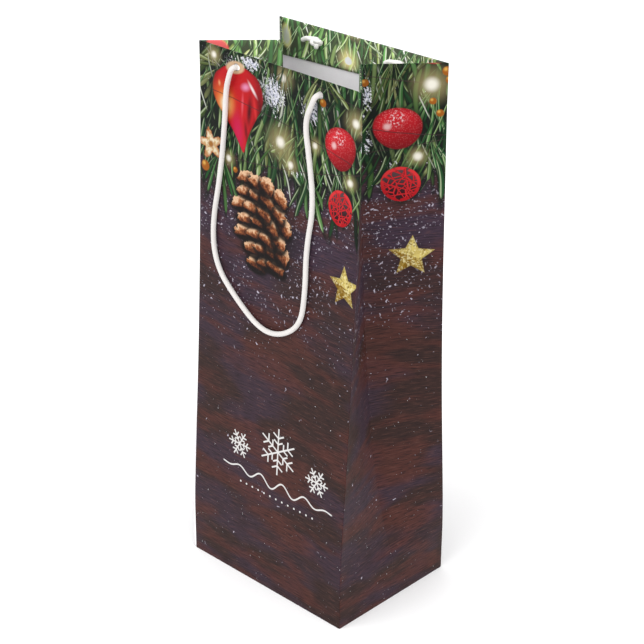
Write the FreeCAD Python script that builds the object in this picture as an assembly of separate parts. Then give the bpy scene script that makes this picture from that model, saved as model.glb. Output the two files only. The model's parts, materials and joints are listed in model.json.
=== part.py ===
"""Paper gift bag for one wine bottle, standing open, with two cord handles.

The bag is one printed paper sheet, folded and glued, so each panel, turned-in hem, glued tab and bottom
flap is a part of its own, cut at the fold lines. Two stiffening cards sit inside the front and back hems,
a loose board lies on the bottom, and each handle is a soft cord with a knot at each end.

The origin is the middle of the base. +X runs along the front panel, the front faces -Y and +Z is up.
Every paper face is flat between neighbouring stations, so that glued faces meet exactly.
"""
import FreeCAD, Part
import math
import os

Vector = FreeCAD.Vector

# Bag
WIDTH = 125.0              # across the front panel
DEPTH = 92.0               # across a side panel, measured along the paper
HEIGHT = 330.0
PAPER = 0.3                # thickness of the front, back, hems and flaps
SIDE_PAPER = 0.36          # side paper measured along X, which is about 0.3 across its sloping face
CREASE_START = 28.0        # height above which the side creases fold inward
RIM_START = 304.0          # above this the stiffened rim stands upright
MOUTH_INSET = 32.0         # how far in each side crease stands at the rim
INSET_SHARPNESS = 0.35     # a smaller value folds the sides in faster above the base
STATIONS = (0.0, CREASE_START, 45.0, 70.0, 105.0, 150.0, 200.0, 254.0, RIM_START, HEIGHT)
SAME_PLANE = 1e-6          # largest box product, in cubic millimetres, of four points in one plane

# Rim
HEM_DEPTH = 23.0
CARD_DEPTH = 20.0
CARD_THICKNESS = 0.45
RIM_END_GAP = 2.0          # the front and back hems and cards stop this far short of the corners
SIDE_HEM_GAP = 0.1         # between the side hems and the front and back hems
GLUE_GAP = 0.02            # glue line between a side panel and its hem

# Side seam
TAB_WIDTH = 13.0
TAB_OFFSET = 1.0           # from the corner to the tab's fold
TAB_TOP_GAP = 3.0          # from the tab's top to the hem

# Bottom
REAR_FLAP_REACH = 68.0     # the outermost flap, folded from the back panel
FRONT_FLAP_REACH = 64.0
SIDE_FLAP_REACH = 42.0
FLAP_CORNER = 8.0          # the flaps' free corners are cut off by this much
BOARD_THICKNESS = 0.8
BOARD_CLEARANCE = 1.0      # around the loose board
BOARD_GAP = 0.1            # between the loose board and the side flaps under it
BOARD_CORNER = 2.0

# Handles
CORD = 3.0                 # cord diameter
CORD_CLEARANCE = 0.4       # between a hanging cord and the panel behind it
HOLE_SPACING = 64.0
HOLE_DROP = 8.6            # from the rim to the holes' centres
HOLE_RADIUS = 2.1
KNOT_RADIUS = 3.8
TAIL_LENGTH = 9.0          # cut end past the knot's centre
TAIL_DROP = 0.25           # fall of the cut end, per unit of its length
FILLET_SHARE = 0.45        # share of the shorter run that a cord's arc takes
HOLE_HEIGHT = HEIGHT - HOLE_DROP

# Each handle hangs in a loop against its panel: places along X, and heights, seen from the front
FRONT_ROUTE = [
    (-32.0, 321.4), (-38.8, 307.0), (-39.6, 288.0), (-43.0, 257.0), (-49.6, 222.0), (-45.5, 199.0),
    (-29.0, 184.0), (-9.0, 171.0), (8.0, 172.5), (23.5, 184.5), (26.2, 206.0), (26.0, 232.0),
    (30.6, 258.0), (26.5, 284.0), (22.3, 304.0), (32.0, 321.4),
]
REAR_ROUTE = [
    (-32.0, 321.4), (-35.0, 305.0), (-31.8, 284.0), (-34.6, 258.0), (-30.2, 231.0), (-33.0, 206.0),
    (-27.0, 184.0), (-13.0, 168.6), (4.5, 164.2), (21.0, 171.5), (31.5, 187.0), (36.4, 211.0),
    (34.2, 238.0), (37.6, 265.0), (33.6, 288.0), (36.2, 305.0), (32.0, 321.4),
]


def side_inset(z):
    """How far in the side crease stands from the corner line, at a station."""
    rise = min(1.0, max(0.0, (z - CREASE_START) / (RIM_START - CREASE_START)))
    return MOUTH_INSET * (1 + INSET_SHARPNESS) * rise / (rise + INSET_SHARPNESS)


def half_depth(z):
    """Half the bag's depth at a station: the side paper keeps its width as it folds in."""
    return math.sqrt((DEPTH / 2) ** 2 - side_inset(z) ** 2)


def along(measure, z):
    """A measure at any height, straight between its values at the stations."""
    for low, high in zip(STATIONS, STATIONS[1:]):
        if z <= high:
            share = (z - low) / (high - low)
            return measure(low) * (1 - share) + measure(high) * share
    return measure(HEIGHT)


def heights(low, high):
    """The two end heights with every station between them."""
    return [low] + [z for z in STATIONS if low < z < high] + [high]


def flat_face(corners):
    return Part.Face(Part.makePolygon(corners + corners[:1]))


def band_faces(low_start, low_end, high_end, high_start):
    """One flat face, or two triangles that bend from the lower point nearer the bag's corner line."""
    twist = (low_end - low_start).cross(high_start - low_start).dot(high_end - low_start)
    if abs(twist) < SAME_PLANE:
        return [flat_face([low_start, low_end, high_end, high_start])]
    if abs(low_start.x) > abs(low_end.x):
        return [flat_face([low_start, low_end, high_end]), flat_face([low_start, high_end, high_start])]
    return [flat_face([low_start, low_end, high_start]), flat_face([low_end, high_end, high_start])]


def upright(section, low, high):
    """Closed solid with the given outline, a function of height, from low to high."""
    rings = [[Vector(x, y, z) for x, y in section(z)] for z in heights(low, high)]
    faces = [flat_face(rings[0]), flat_face(rings[-1])]
    for lower, upper in zip(rings, rings[1:]):
        for start in range(len(lower)):
            end = (start + 1) % len(lower)
            faces += band_faces(lower[start], lower[end], upper[end], upper[start])
    solid = Part.Solid(Part.makeShell(faces))
    solid.fix(SAME_PLANE, SAME_PLANE, SAME_PLANE)
    return solid


def plate(outline, bottom, thickness):
    """Flat horizontal plate."""
    corners = [Vector(x, y, bottom) for x, y in outline]
    return flat_face(corners).extrude(Vector(0, 0, thickness))


def behind(shape):
    """The same piece on the back of the bag."""
    return shape.mirror(Vector(), Vector(0, 1, 0))


def on_left(shape):
    """The same piece on the left of the bag."""
    return shape.mirror(Vector(), Vector(1, 0, 0))


def front_layer(start, thickness, half_width):
    """Outline of a layer of the front, from start to start + thickness behind the outer face."""
    def section(z):
        outer = -along(half_depth, z) + start
        inner = outer + thickness
        return [(-half_width, outer), (half_width, outer), (half_width, inner), (-half_width, inner)]
    return section


def with_handle_holes(shape):
    """Punches the two handle holes through a front layer."""
    for x in (-HOLE_SPACING / 2, HOLE_SPACING / 2):
        shape = shape.cut(Part.makeCylinder(HOLE_RADIUS, DEPTH / 2, Vector(x, -DEPTH / 2, HOLE_HEIGHT),
                                            Vector(0, 1, 0)))
    return shape


def front_panel():
    section = front_layer(0.0, PAPER, WIDTH / 2)
    return with_handle_holes(upright(section, 0.0, HEIGHT))


def top_card():
    """Stiffening card inside the front hem's fold."""
    section = front_layer(PAPER, CARD_THICKNESS, WIDTH / 2 - RIM_END_GAP)
    top = HEIGHT - PAPER
    return with_handle_holes(upright(section, top - CARD_DEPTH, top))


def front_hem():
    """Paper turned in over the card and down its inner side."""
    half_width = WIDTH / 2 - RIM_END_GAP
    fold = upright(front_layer(PAPER, CARD_THICKNESS, half_width), HEIGHT - PAPER, HEIGHT)
    leaf = upright(front_layer(PAPER + CARD_THICKNESS, PAPER, half_width), HEIGHT - HEM_DEPTH, HEIGHT)
    return with_handle_holes(fold.fuse(leaf).removeSplitter())


def right_gusset_front():
    """Front half of the right side, from the corner to the inward crease."""
    def section(z):
        corner = WIDTH / 2
        crease = corner - along(side_inset, z)
        front = -along(half_depth, z) + PAPER
        return [(corner, front), (crease, 0.0), (crease - SIDE_PAPER, 0.0), (corner - SIDE_PAPER, front)]
    return upright(section, 0.0, HEIGHT)


def right_gusset_hem():
    """Paper turned in along the right side's mouth, bent at the crease."""
    def section(z):
        inset = along(side_inset, z)
        front = -along(half_depth, z) + PAPER
        start = front + CARD_THICKNESS + PAPER + SIDE_HEM_GAP
        outer = WIDTH / 2 - SIDE_PAPER - GLUE_GAP
        end = outer - inset * (front - start) / front
        crease = outer - inset
        return [(end, start), (crease, 0.0), (end, -start),
                (end - SIDE_PAPER, -start), (crease - SIDE_PAPER, 0.0), (end - SIDE_PAPER, start)]
    return upright(section, HEIGHT - HEM_DEPTH, HEIGHT)


def side_glue_tab():
    """Strip of the left side that is glued behind the front panel's edge."""
    corner = -WIDTH / 2

    def section(z):
        outer = -along(half_depth, z) + PAPER
        inner = outer + PAPER
        left = corner + TAB_OFFSET
        right = corner + TAB_WIDTH
        return [(left, outer), (right, outer), (right, inner), (left, inner)]
    return upright(section, 4 * PAPER, HEIGHT - HEM_DEPTH - TAB_TOP_GAP)


def bottom_flap(reach, bottom):
    """Flap folded in from the back panel, with its free corners cut off."""
    half_width = WIDTH / 2 - SIDE_PAPER
    fold = DEPTH / 2 - PAPER
    edge = fold - reach
    outline = [(-half_width, fold), (half_width, fold), (half_width, edge + FLAP_CORNER),
               (half_width - FLAP_CORNER, edge), (FLAP_CORNER - half_width, edge),
               (-half_width, edge + FLAP_CORNER)]
    return plate(outline, bottom, PAPER)


def right_bottom_flap():
    fold = WIDTH / 2 - SIDE_PAPER
    half_width = DEPTH / 2 - PAPER
    edge = fold - SIDE_FLAP_REACH
    outline = [(fold, -half_width), (fold, half_width), (edge, half_width - FLAP_CORNER),
               (edge, FLAP_CORNER - half_width)]
    return plate(outline, 2 * PAPER, PAPER)


def base_board():
    """Loose card that stiffens the bottom."""
    length = WIDTH - 2 * (SIDE_PAPER + BOARD_CLEARANCE)
    width = DEPTH - 2 * (PAPER + BOARD_CLEARANCE)
    corner = Vector(-length / 2, -width / 2, 3 * PAPER + BOARD_GAP)
    board = Part.makeBox(length, width, BOARD_THICKNESS, corner)
    uprights = [edge for edge in board.Edges if abs(edge.tangentAt(edge.FirstParameter).z) > 0.99]
    return board.makeFillet(BOARD_CORNER, uprights)


def front_knot(side):
    """Knot inside the front hem at side -1 or 1, with its cut end and the cord through the hole."""
    face = -along(half_depth, HOLE_HEIGHT)
    x = side * HOLE_SPACING / 2
    hem_face = face + 2 * PAPER + CARD_THICKNESS
    centre = Vector(x, hem_face + KNOT_RADIUS + GLUE_GAP, HOLE_HEIGHT)
    ball = Part.makeSphere(KNOT_RADIUS, centre)
    stub = Part.makeCylinder(CORD / 2, centre.y - face, Vector(x, face, HOLE_HEIGHT), Vector(0, 1, 0))
    tail = Part.makeCylinder(CORD / 2, TAIL_LENGTH, centre, Vector(-1, 0, -TAIL_DROP))
    return ball.fuse([stub, tail]).removeSplitter()


def cord_points(route):
    """Lifts a front route onto the panel's outer face, half a cord and the clearance away."""
    offset = CORD / 2 + CORD_CLEARANCE
    return [Vector(x, -along(half_depth, z) - offset, z) for x, z in route]


def cord_path(points):
    """Straight runs joined by tangent arcs, each as large as its runs allow, and the arcs' radii."""
    edges = []
    radii = []
    start = points[0]
    for before, corner, after in zip(points, points[1:], points[2:]):
        back = (before - corner).normalize()
        ahead = (after - corner).normalize()
        half_turn = (math.pi - back.getAngle(ahead)) / 2
        reach = FILLET_SHARE * min((before - corner).Length, (after - corner).Length)
        radius = reach / math.tan(half_turn)
        to_middle = radius / math.cos(half_turn) - radius
        middle = corner + (back + ahead).normalize() * to_middle
        arc_start = corner + back * reach
        arc_end = corner + ahead * reach
        edges.append(Part.LineSegment(start, arc_start).toShape())
        edges.append(Part.Arc(arc_start, middle, arc_end).toShape())
        radii.append(radius)
        start = arc_end
    edges.append(Part.LineSegment(start, points[-1]).toShape())
    return Part.Wire(edges), radii


def handle_cord(name, route):
    """Tube along the hanging part of a handle."""
    points = cord_points(route)
    path, radii = cord_path(points)
    ring = Part.Wire(Part.makeCircle(CORD / 2, points[0], points[1] - points[0]))
    tube = path.makePipeShell([ring], True, True)
    full = math.pi * (CORD / 2) ** 2 * path.Length
    print(name, "length %.1f mm, tightest radius %.1f mm" % (path.Length, min(radii)),
          "volume %.1f of %.1f mm3" % (tube.Volume, full))
    return tube


def save(name, shape):
    """Writes one node, after checking that it is closed and sound."""
    if not shape.isValid() or shape.Volume <= 0 or len(shape.Solids) != 1:
        raise ValueError(name + " is not one sound solid")
    shape.Solids[0].exportStep("parts/" + name + ".step")


def build():
    panel = front_panel()
    card = top_card()
    hem = front_hem()
    gusset = right_gusset_front()
    gusset_hem = right_gusset_hem()
    side_flap = right_bottom_flap()
    left_knot = front_knot(-1)
    right_knot = front_knot(1)
    return {
        "front_panel": panel,
        "back_panel": behind(panel),
        "right_gusset_front": gusset,
        "right_gusset_rear": behind(gusset),
        "left_gusset_front": on_left(gusset),
        "left_gusset_rear": on_left(behind(gusset)),
        "front_hem": hem,
        "back_hem": behind(hem),
        "right_gusset_hem": gusset_hem,
        "left_gusset_hem": on_left(gusset_hem),
        "front_top_card": card,
        "back_top_card": behind(card),
        "side_glue_tab": side_glue_tab(),
        "rear_bottom_flap": bottom_flap(REAR_FLAP_REACH, 0.0),
        "front_bottom_flap": behind(bottom_flap(FRONT_FLAP_REACH, PAPER)),
        "right_bottom_flap": side_flap,
        "left_bottom_flap": on_left(side_flap),
        "base_board": base_board(),
        "front_left_knot": left_knot,
        "front_right_knot": right_knot,
        "rear_left_knot": behind(left_knot),
        "rear_right_knot": behind(right_knot),
        "front_handle_cord": handle_cord("front handle", FRONT_ROUTE),
        "rear_handle_cord": behind(handle_cord("rear handle", REAR_ROUTE)),
    }


os.makedirs("parts", exist_ok=True)
for node, solid in build().items():
    save(node, solid)
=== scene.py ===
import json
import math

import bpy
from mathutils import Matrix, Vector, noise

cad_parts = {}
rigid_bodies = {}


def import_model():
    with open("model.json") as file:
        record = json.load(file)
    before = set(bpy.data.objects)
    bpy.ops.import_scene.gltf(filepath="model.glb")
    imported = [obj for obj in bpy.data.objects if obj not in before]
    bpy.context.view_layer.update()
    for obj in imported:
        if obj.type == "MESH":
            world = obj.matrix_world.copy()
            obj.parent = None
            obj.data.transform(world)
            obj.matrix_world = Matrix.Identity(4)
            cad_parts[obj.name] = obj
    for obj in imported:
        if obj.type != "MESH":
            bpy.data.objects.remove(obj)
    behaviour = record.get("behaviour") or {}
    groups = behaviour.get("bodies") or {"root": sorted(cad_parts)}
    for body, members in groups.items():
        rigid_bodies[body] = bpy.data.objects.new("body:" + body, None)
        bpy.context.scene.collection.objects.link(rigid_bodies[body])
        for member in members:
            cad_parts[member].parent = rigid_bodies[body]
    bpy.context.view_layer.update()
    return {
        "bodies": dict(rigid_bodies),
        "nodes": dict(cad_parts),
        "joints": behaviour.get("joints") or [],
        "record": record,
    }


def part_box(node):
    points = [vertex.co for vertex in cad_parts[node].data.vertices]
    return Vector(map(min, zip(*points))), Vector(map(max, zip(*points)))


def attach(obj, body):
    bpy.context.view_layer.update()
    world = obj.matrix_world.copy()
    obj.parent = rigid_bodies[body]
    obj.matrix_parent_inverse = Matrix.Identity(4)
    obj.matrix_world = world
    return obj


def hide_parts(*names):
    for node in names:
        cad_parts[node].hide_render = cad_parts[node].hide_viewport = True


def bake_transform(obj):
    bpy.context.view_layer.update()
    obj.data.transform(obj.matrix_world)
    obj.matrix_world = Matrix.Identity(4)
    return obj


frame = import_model()

# The looks of a paper gift bag for one wine bottle: a printed, folded and glued sheet with a stiffened
# rim, and two soft cord handles, each with a knot at either end.
#
# Lengths are in metres, in the model's frame: the front faces -Y and +Z is up. A place on the paper is
# (s, v): s runs along the paper round the bag, from the front left corner to the right, and v runs up
# the outside, over the rim and down the inside. The print is painted in millimetres on the flat sheet,
# across from the middle of a face and up from the base.

MM = 0.001

# Bag, from the frame
PANEL_LOW, PANEL_HIGH = (Vector(corner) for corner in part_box("front_panel"))
GUSSET_LOW, GUSSET_HIGH = (Vector(corner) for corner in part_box("right_gusset_front"))
HEM_LOW = Vector(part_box("front_hem")[0])
CARD_LOW, CARD_HIGH = (Vector(corner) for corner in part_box("front_top_card"))
TAB_LOW, TAB_HIGH = (Vector(corner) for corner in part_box("side_glue_tab"))
PAPER = 0.3 * MM
SIDE_PAPER = 0.36 * MM              # side paper measured along X
WIDTH = PANEL_HIGH.x - PANEL_LOW.x
HEIGHT = PANEL_HIGH.z
HALF_DEPTH = -PANEL_LOW.y           # also half a side's width along the paper
MOUTH_INSET = GUSSET_HIGH.x - GUSSET_LOW.x - SIDE_PAPER
CREASE_START = 28 * MM              # height above which the side creases fold inward
RIM_START = 304 * MM                # above this the stiffened rim stands upright
INSET_SHARPNESS = 0.35              # a smaller value folds the sides in faster above the base
FOLD_ROUND = 0.9 * MM               # paper on each side of a fold that takes part in its bend
BASE_ROUND = 0.35 * MM              # radius of the folds round the base
CARD = 0.4 * MM
CARD_GAP = 0.02 * MM
RIM_ROUND = PAPER + 0.225 * MM      # outer radius of the paper's turn over the rim
CORNER_PULL = 2.4                   # the turned-in paper stops this far short of a corner, per its depth
HOLE_RADIUS = 2.1 * MM
HOLE_OFFSET = 32 * MM
HOLE_HEIGHT = frame["joints"][0]["pos_m"][2]
HOLE_PATCH = 3.6 * MM               # half the square of paper round a hole that has a mesh of its own

# Folds along the paper: front, right side with its crease, back, left side with its crease
FOLDS = (0.0, WIDTH, WIDTH + HALF_DEPTH, WIDTH + 2 * HALF_DEPTH,
         2 * WIDTH + 2 * HALF_DEPTH, 2 * WIDTH + 3 * HALF_DEPTH)
GIRTH = 2 * WIDTH + 4 * HALF_DEPTH
FRONT_MIDDLE = WIDTH / 2
RIGHT_CREASE = FOLDS[2]
BACK_MIDDLE = FOLDS[3] + WIDTH / 2
LEFT_CREASE = FOLDS[5]

# Hand-made unevenness
RIPPLE = 0.25 * MM
RIPPLE_LENGTH = 40 * MM
FOLD_CALM = 14 * MM                 # the ripple grows to its full height over this distance from a fold
BASE_CALM = 20 * MM                 # and from the base
RIM_CALM = 12 * MM                  # and shrinks over this distance below the stiffened rim
RIM_STIFFNESS = 0.7                 # share of the ripple that the card takes away
BACK_TURN = 2.6 * MM                # the back's top corners stand this far out of square
BACK_TURN_START = 0.35 * HEIGHT
SEAM_FLARE = 2.1 * MM               # the side seam's bare fold stands out this far at the base
SEAM_FLARE_TOP = 135 * MM
SEAM_FLARE_WIDTH = 16 * MM
HEM_LIFT = 2.3 * MM                 # a hem's cut edge stands this much higher than drawn, in its middle
HEM_SKEW = 1.9 * MM                 # and this much more or less at its ends
HEM_EVEN = 13 * MM                  # depth below the rim down to which a hem is even

# Mesh steps
FINE = 0.3 * MM
HOLE_STEP = 0.72 * MM
COARSE = 2.6 * MM
ROUND_OFF = 1e-6                    # a stretch this share of a step too long gets no further step
TAB_FINE = 3 * MM                   # width of the seam tab, from its fold, that is cut into fine steps
PATCH_SHARES = (0.4, 0.75, 1.0)     # rings between a hole's square patch and its round edge

# Handles
CORD = 3.0 * MM
CORD_CLEARANCE = 0.4 * MM
CORD_SIDES = 36
BRAID_RELIEF = 0.06 * MM
BRAID_STRANDS = 6                   # ridges round the cord in each direction
BRAID_PITCH = 1.9 * MM
BRAID_MEAN = 0.4                    # the ridges' mean height, taken off so that the cord keeps its size
SPLINE_STEPS = 60                   # points read from a spline for each of its control points

# Each handle's route between its holes, seen from the front: places along X, and heights
FRONT_ROUTE = [
    (-0.0388, 0.3070), (-0.0396, 0.2880), (-0.0430, 0.2570), (-0.0496, 0.2220), (-0.0455, 0.1990),
    (-0.0290, 0.1840), (-0.0090, 0.1710), (0.0080, 0.1725), (0.0235, 0.1845), (0.0262, 0.2060),
    (0.0260, 0.2320), (0.0306, 0.2580), (0.0265, 0.2840), (0.0223, 0.3040),
]
REAR_ROUTE = [
    (-0.0350, 0.3050), (-0.0318, 0.2840), (-0.0346, 0.2580), (-0.0302, 0.2310), (-0.0330, 0.2060),
    (-0.0270, 0.1840), (-0.0130, 0.1686), (0.0045, 0.1642), (0.0210, 0.1715), (0.0315, 0.1870),
    (0.0364, 0.2110), (0.0342, 0.2380), (0.0376, 0.2650), (0.0336, 0.2880), (0.0362, 0.3050),
]


# ---------------------------------------------------------------- the folded sheet

def smoothstep(value, start, end):
    """0 at start and 1 at end, with a soft change between."""
    share = min(1.0, max(0.0, (value - start) / (end - start)))
    return share * share * (3 - 2 * share)


def side_inset(z):
    """How far in the side crease stands from the corner line."""
    rise = min(1.0, max(0.0, (z - CREASE_START) / (RIM_START - CREASE_START)))
    return MOUTH_INSET * (1 + INSET_SHARPNESS) * rise / (rise + INSET_SHARPNESS)


def half_depth(z):
    """Half the bag's depth: the side paper keeps its width as it folds in."""
    return math.sqrt(HALF_DEPTH ** 2 - side_inset(z) ** 2)


def ring_corners(z):
    """The bag's outline at a height, one point for each fold."""
    corner = WIDTH / 2
    crease = corner - side_inset(z)
    half = half_depth(z)
    turn = BACK_TURN * smoothstep(z, BACK_TURN_START, HEIGHT)
    return [Vector((-corner, -half)), Vector((corner, -half)), Vector((crease, 0.0)),
            Vector((corner, half + turn)), Vector((-corner, half - turn)), Vector((-crease, 0.0))]


def past_fold(s, fold):
    """Distance along the paper from a fold, negative before it."""
    return (s - fold + GIRTH / 2) % GIRTH - GIRTH / 2


def ring_point(s, z):
    """Point of the outer outline and its direction there, with each fold rounded."""
    corners = ring_corners(z)
    slopes = []
    for index, fold in enumerate(FOLDS):
        ahead = (index + 1) % len(FOLDS)
        slopes.append((corners[ahead] - corners[index]) / ((FOLDS[ahead] - fold) % GIRTH))
    for index, fold in enumerate(FOLDS):
        past = past_fold(s, fold)
        if abs(past) < FOLD_ROUND:
            before = slopes[index - 1] * (FOLD_ROUND - past)
            after = slopes[index] * (FOLD_ROUND + past)
            bend = (after * (FOLD_ROUND + past) - before * (FOLD_ROUND - past)) / (4 * FOLD_ROUND)
            return corners[index] + bend, (before + after).normalized()
    index = max(place for place in range(len(FOLDS)) if FOLDS[place] <= s % GIRTH)
    return corners[index] + slopes[index] * (s % GIRTH - FOLDS[index]), slopes[index].normalized()


def ripple(s, z):
    """Soft unevenness of the paper, none at its folds and little where card backs it."""
    nearest = min(abs(past_fold(s, fold)) for fold in FOLDS)
    free = smoothstep(nearest, 0.0, FOLD_CALM) * smoothstep(z, 0.0, BASE_CALM)
    free *= 1 - RIM_STIFFNESS * smoothstep(z, RIM_START - RIM_CALM, RIM_START)
    return RIPPLE * free * noise.noise(Vector((s, z, 0.0)) / RIPPLE_LENGTH)


def paper_point(s, v, middle, reach, depth=0.0):
    """Point of the printed face, or depth behind it, on the face with that middle and half width."""
    over = max(0.0, v - (HEIGHT - RIM_ROUND))
    turn = min(math.pi, over / RIM_ROUND)
    down = max(0.0, over - math.pi * RIM_ROUND)
    down -= (HEM_LIFT - HEM_SKEW * (s - middle) / reach) * smoothstep(down, HEM_EVEN, HEIGHT - HEM_LOW.z)
    z = min(v, HEIGHT - RIM_ROUND) + RIM_ROUND * math.sin(turn) - down
    inward = RIM_ROUND * (1 - math.cos(turn))
    below = max(0.0, BASE_ROUND - v)
    inward += BASE_ROUND - math.sqrt(BASE_ROUND ** 2 - below ** 2)
    pulled = middle + (s - middle) * (1 - CORNER_PULL * inward / reach)
    place, along = ring_point(pulled, z)
    place = place + Vector((along.y, -along.x)) * (ripple(s, z) - inward - depth)
    if s > GIRTH - SEAM_FLARE_WIDTH:
        flare = SEAM_FLARE * (1 - smoothstep(z, 0.0, SEAM_FLARE_TOP))
        place.x -= flare * smoothstep(s, GIRTH - SEAM_FLARE_WIDTH, GIRTH)
    return Vector((place.x, place.y, z))


def inside_v(z):
    """How far along the paper the turned-in hem is at a height."""
    return HEIGHT - RIM_ROUND + math.pi * RIM_ROUND + (HEIGHT - RIM_ROUND - z)


def steps(*breaks):
    """Values through (value, step) breaks; each stretch is cut into equal parts no longer than its step."""
    values = [breaks[0][0]]
    for (start, _), (end, step) in zip(breaks, breaks[1:]):
        count = max(1, math.ceil((end - start) / step - ROUND_OFF))
        values += [start + (end - start) * (part + 1) / count for part in range(count)]
    return values


def hole_patch(points, faces, centre, loop):
    """Fills the square loop of points about a hole with rings that turn into its round edge."""
    offsets = [Vector(points[corner]) - centre for corner in loop]
    outer = loop
    for share in PATCH_SHARES:
        ring = range(len(points), len(points) + len(loop))
        moved = [offset.lerp(offset.normalized() * HOLE_RADIUS, share) for offset in offsets]
        points += [tuple(centre + offset) for offset in moved]
        for index in range(len(loop)):
            ahead = (index + 1) % len(loop)
            faces.append((outer[index], outer[ahead], ring[ahead], ring[index]))
        outer = ring


def flat_sheet(columns, rows, holes=()):
    """Points and faces of a flat sheet with round holes."""
    points = [(s, v) for v in rows for s in columns]
    faces = []
    count = len(columns)
    blocks = []
    near = HOLE_PATCH + FINE / 10
    for hole in holes:
        across = [i for i, s in enumerate(columns) if abs(s - hole[0]) < near]
        up = [j for j, v in enumerate(rows) if abs(v - hole[1]) < near]
        blocks.append((across[0], across[-1], up[0], up[-1]))
    for j in range(len(rows) - 1):
        for i in range(count - 1):
            if not any(left <= i < right and low <= j < high for left, right, low, high in blocks):
                corner = j * count + i
                faces.append((corner, corner + 1, corner + count + 1, corner + count))
    for hole, (left, right, low, high) in zip(holes, blocks):
        loop = [low * count + i for i in range(left, right)]
        loop += [j * count + right for j in range(low, high)]
        loop += [high * count + i for i in range(right, left, -1)]
        loop += [j * count + left for j in range(high, low, -1)]
        hole_patch(points, faces, Vector(hole), loop)
    return points, faces


def add_object(name, vertices, faces):
    mesh = bpy.data.meshes.new(name)
    mesh.from_pydata(vertices, [], faces)
    mesh.update()
    piece = bpy.data.objects.new(name, mesh)
    bpy.context.collection.objects.link(piece)
    return piece


def set_point_values(mesh, name, values):
    """Stores one vector for each vertex, for the materials to read."""
    attribute = mesh.attributes.new(name, "FLOAT_VECTOR", "POINT")
    attribute.data.foreach_set("vector", [number for value in values for number in value])


def paper_piece(name, sheet, place, middle, thickness, materials, nodes):
    """A closed piece of paper or card: its outer face, its inner face and its cut edges."""
    points, faces = sheet
    outer = [place(s, v) for s, v in points]
    surface = bpy.data.meshes.new("surface")
    surface.from_pydata(outer, [], faces)
    inner = [point - normal.vector * thickness for point, normal in zip(outer, surface.vertex_normals)]
    bpy.data.meshes.remove(surface)
    count = len(points)
    sides = {(face[i - 1], face[i]) for face in faces for i in range(len(face))}
    rim = [(start, end) for start, end in sorted(sides) if (end, start) not in sides]
    edges = [(end, start, start + count, end + count) for start, end in rim]
    back = [tuple(corner + count for corner in reversed(face)) for face in faces]
    piece = add_object(name, outer + inner, faces + back + edges)
    kinds = [0] * len(faces) + [1] * len(back) + [2] * len(edges)
    for face, kind in zip(piece.data.polygons, kinds):
        face.material_index = kind
        face.use_smooth = kind < 2
    for material in materials:
        piece.data.materials.append(material)
    set_point_values(piece.data, "sheet", 2 * [((s - middle) / MM, v / MM, 0.0) for s, v in points])
    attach(piece, "bag")
    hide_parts(*nodes)


def outside_rows(holes):
    if not holes:
        return steps((0.0, 0.0), (BASE_ROUND, FINE / 3), (HEIGHT - RIM_ROUND, COARSE))
    return steps((0.0, 0.0), (BASE_ROUND, FINE / 3), (HOLE_HEIGHT - HOLE_PATCH, COARSE),
                 (HOLE_HEIGHT + HOLE_PATCH, HOLE_STEP), (HEIGHT - RIM_ROUND, COARSE))


def hem_rows(bottom, holes):
    turned = HEIGHT - RIM_ROUND + math.pi * RIM_ROUND
    start = [(HEIGHT - RIM_ROUND, 0.0), (turned, RIM_ROUND * math.pi / 8)]
    if holes:
        start += [(inside_v(HOLE_HEIGHT + HOLE_PATCH), COARSE),
                  (inside_v(HOLE_HEIGHT - HOLE_PATCH), HOLE_STEP)]
    return steps(*start, (inside_v(bottom), COARSE))


def face_columns(start, end, middle=None):
    """Places across a face, close together at its folds and at the handle holes, if it has them."""
    if middle is None:
        return steps((start, 0.0), (start + FOLD_ROUND, FINE), (end - FOLD_ROUND, COARSE), (end, FINE))
    left = middle - HOLE_OFFSET
    right = middle + HOLE_OFFSET
    return steps((start, 0.0), (start + FOLD_ROUND, FINE), (left - HOLE_PATCH, COARSE),
                 (left + HOLE_PATCH, HOLE_STEP), (right - HOLE_PATCH, COARSE),
                 (right + HOLE_PATCH, HOLE_STEP), (end - FOLD_ROUND, COARSE), (end, FINE))


def on_face(middle, reach, depth=0.0):
    """Gives the points of one face, or depth behind it, for places on the flat sheet."""
    def place(s, v):
        return paper_point(s, v, middle, reach, depth)
    return place


def panel(side, middle, materials, card_materials):
    """Front or back: the panel, its hem and the card between them."""
    start = middle - WIDTH / 2
    end = middle + WIDTH / 2
    columns = face_columns(start, end, middle)
    place = on_face(middle, WIDTH / 2)
    card_place = on_face(middle, WIDTH / 2, PAPER + CARD_GAP)
    holes = [(middle - HOLE_OFFSET, HOLE_HEIGHT), (middle + HOLE_OFFSET, HOLE_HEIGHT)]
    inside = [(s, inside_v(v)) for s, v in holes]
    for part, rows, its_holes in (("_panel", outside_rows(holes), holes),
                                  ("_hem", hem_rows(HEM_LOW.z, inside), inside)):
        sheet = flat_sheet(columns, rows, its_holes)
        paper_piece(side + part + "_paper", sheet, place, middle, PAPER, materials, [side + part])

    gap = WIDTH / 2 - CARD_HIGH.x
    card_columns = face_columns(start + gap, end - gap, middle)
    card_rows = steps((CARD_LOW.z + HEM_LIFT, 0.0), (HOLE_HEIGHT - HOLE_PATCH, COARSE),
                      (HOLE_HEIGHT + HOLE_PATCH, HOLE_STEP), (HEIGHT - RIM_ROUND, COARSE))
    sheet = flat_sheet(card_columns, card_rows, holes)
    paper_piece(side + "_card", sheet, card_place, middle, CARD, card_materials, [side + "_top_card"])


def gusset_half(name, start, end, crease, materials):
    sheet = flat_sheet(face_columns(start, end), outside_rows(()))
    paper_piece(name + "_paper", sheet, on_face(crease, HALF_DEPTH), crease, PAPER, materials, [name])


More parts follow.
